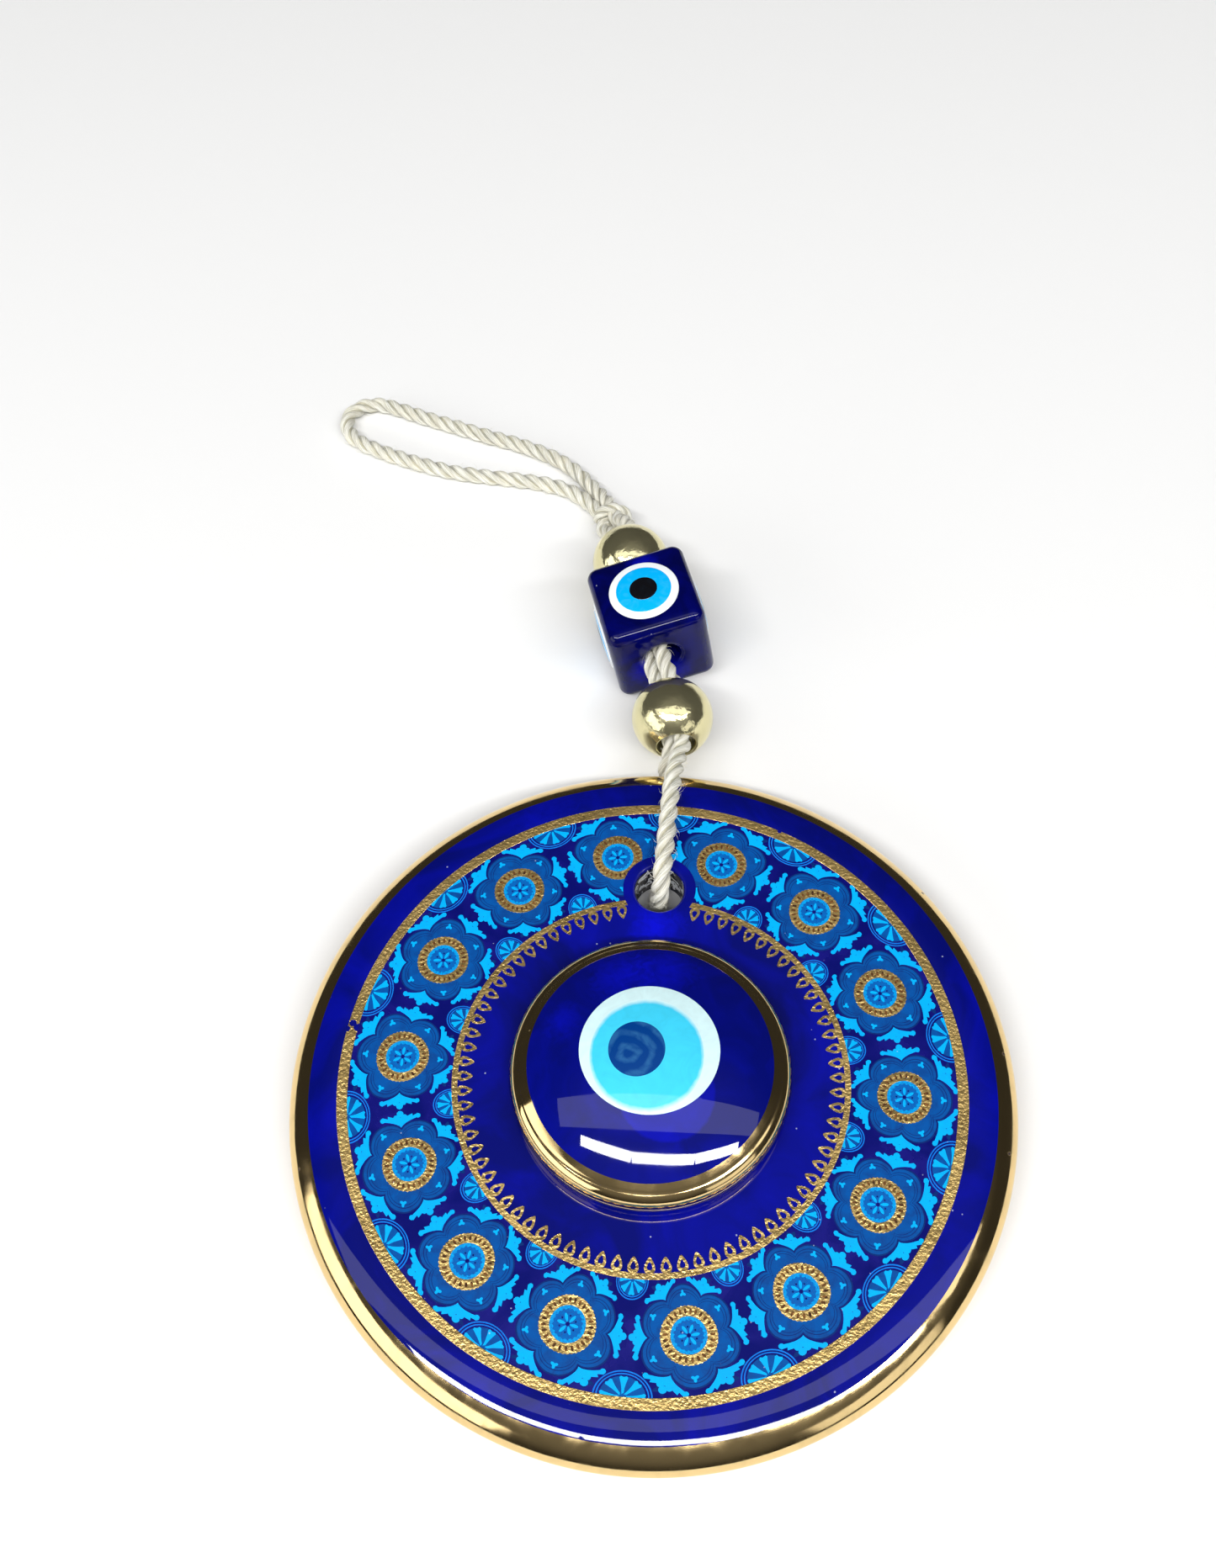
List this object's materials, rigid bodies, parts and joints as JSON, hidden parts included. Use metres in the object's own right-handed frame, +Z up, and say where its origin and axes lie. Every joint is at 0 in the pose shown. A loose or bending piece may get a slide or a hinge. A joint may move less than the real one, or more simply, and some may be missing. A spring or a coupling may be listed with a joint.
{
  "type": "evil eye wall ornament",
  "caption": "Gilded cobalt glass disc with a printed medallion band and a domed glass eye, hung on doubled twine with gold beads, a glass cube bead and a hanging loop.",
  "frame": {"origin": "Under the centre of the glass disc, on the surface that the ornament lies on.", "axes": "+Z up out of the printed face, +Y from the disc's centre to its hanging hole, +X to the right with the face seen from above."},
  "size_m": [0.1142, 0.187, 0.0189],
  "materials": {
    "cobalt_glass": "clear cobalt blue, fire polished",
    "bright_gilding": "bright mirror gilding, lightly worn",
    "champagne_gold": "pale gold metallised bead, mirror gloss",
    "navy_print": "fired decal print, semi gloss",
    "petrol_print": "fired decal print, semi gloss",
    "cyan_print": "fired decal print, semi gloss",
    "sky_print": "fired decal print, semi gloss",
    "gold_print": "grainy fired gold print",
    "clear_glue": "clear set adhesive",
    "white_glass": "opaque bluish white glass, polished",
    "turquoise_glass": "opaque light blue glass, polished",
    "ink_glass": "dark blue glass with faint swirls, polished",
    "white_enamel": "white enamel, gloss",
    "blue_enamel": "sky blue enamel, gloss",
    "black_enamel": "black enamel, gloss",
    "natural_twine": "three-ply natural twine, slightly fuzzy"
  },
  "bodies": {
    "disc": {"glass_disc": "cobalt_glass", "rim_gilding": "bright_gilding", "print_ground": "navy_print", "print_flowers": "petrol_print", "print_palmettes": "cyan_print", "print_wheels": "sky_print", "print_hearts": "sky_print", "medallion_gold_rings": "gold_print", "outer_gold_line": "gold_print", "inner_gold_lace": "gold_print", "dome_glue": "clear_glue", "dome_glass": "cobalt_glass", "dome_gilding": "bright_gilding", "eye_white": "white_glass", "eye_light_blue": "turquoise_glass", "eye_pupil": "ink_glass", "cord_over_rim": "natural_twine", "cord_under_disc": "natural_twine", "cord_rim_turn": "natural_twine"},
    "string": {"cord_bead_strand_right": "natural_twine", "cord_bead_strand_left": "natural_twine"},
    "lower_bead": {"lower_gold_bead": "champagne_gold"},
    "cube": {"cube_bead": "cobalt_glass", "cube_eye_whites": "white_enamel", "cube_eye_blues": "blue_enamel", "cube_eye_pupils": "black_enamel"},
    "upper_bead": {"upper_gold_bead": "champagne_gold"},
    "loop": {"cord_neck_right": "natural_twine", "cord_neck_left": "natural_twine", "cord_knot": "natural_twine", "cord_hanging_loop": "natural_twine"}
  },
  "joints": [
    {"name": "string_swing", "type": "hinge", "parent": "disc", "child": "string", "pos_m": [0.0011, 0.0526, 0.0081], "axis": [1, 0, 0], "range_deg": [-80, 80], "deforming": ["cord_over_rim", "cord_rim_turn"]},
    {"name": "lower_bead_spin", "type": "hinge", "parent": "string", "child": "lower_bead", "pos_m": [0.0007, 0.0604, 0.008], "axis": [-0.1564, 0.9877, 0], "continuous": true},
    {"name": "cube_spin", "type": "hinge", "parent": "string", "child": "cube", "pos_m": [-0.004, 0.07871, 0.00875], "axis": [-0.2487, 0.9686, 0], "continuous": true},
    {"name": "upper_bead_spin", "type": "hinge", "parent": "string", "child": "upper_bead", "pos_m": [-0.00752, 0.09241, 0.008], "axis": [-0.2487, 0.9686, 0], "continuous": true},
    {"name": "loop_swing", "type": "hinge", "parent": "string", "child": "loop", "pos_m": [-0.0092, 0.0992, 0.0082], "axis": [0.9686, 0.2487, 0], "range_deg": [-45, 80], "deforming": ["cord_neck_right", "cord_neck_left"]}
  ]
}
